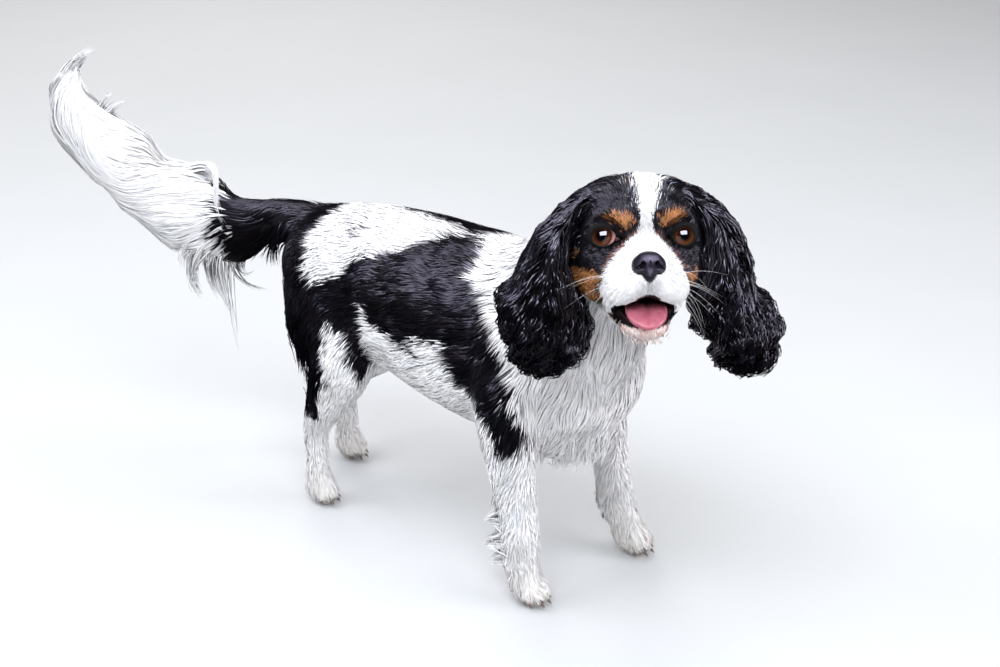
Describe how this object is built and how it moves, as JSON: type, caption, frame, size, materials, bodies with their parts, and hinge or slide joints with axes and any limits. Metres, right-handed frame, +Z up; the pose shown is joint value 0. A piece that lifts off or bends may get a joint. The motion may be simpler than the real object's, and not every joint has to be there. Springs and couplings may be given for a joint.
{
  "type": "cavalier king charles spaniel",
  "caption": "Life-size still model of a standing tricolour spaniel, mouth open, head turned to its right, plumed tail carried level and to the right; it stands on its paws.",
  "frame": {"origin": "on the ground, under the middle of the box that holds the whole dog, coat, ears and tail included", "axes": "+Z up; the body faces -Y, its left side is +X, and the tail reaches back towards +Y; the head is turned about 47 degrees to the dog's right, towards -X"},
  "size_m": [0.2462, 0.7194, 0.4255],
  "materials": {
    "coat_white": "long silky white hair, soft satin, faint cream at the fringes",
    "coat_black": "long silky black hair with a cool gloss; tan spots over the eyes and on the cheeks are drawn in the looks",
    "eye": "wet dark amber-brown eye with a black pupil",
    "nose_leather": "black pebbled moist nose leather",
    "tongue": "wet pink"
  },
  "bodies": {
    "root": {"chest": "coat_white", "ear_feather_left": "coat_black", "ear_feather_right": "coat_black", "ear_left": "coat_black", "ear_right": "coat_black", "eye_left": "eye", "eye_right": "eye", "forearm_left": "coat_white", "forearm_right": "coat_white", "forepaw_left": "coat_white", "forepaw_right": "coat_white", "head": "coat_black", "hindpaw_left": "coat_white", "hindpaw_right": "coat_white", "hock_left": "coat_white", "hock_right": "coat_white", "loin": "coat_black", "lower_jaw": "coat_white", "neck": "coat_white", "nose": "nose_leather", "rump": "coat_black", "second_thigh_left": "coat_white", "second_thigh_right": "coat_white", "shoulder_left": "coat_black", "shoulder_right": "coat_black", "tail_middle": "coat_white", "tail_plume": "coat_white", "tail_root": "coat_black", "thigh_left": "coat_black", "thigh_right": "coat_black", "tongue": "tongue"}
  },
  "joints": []
}
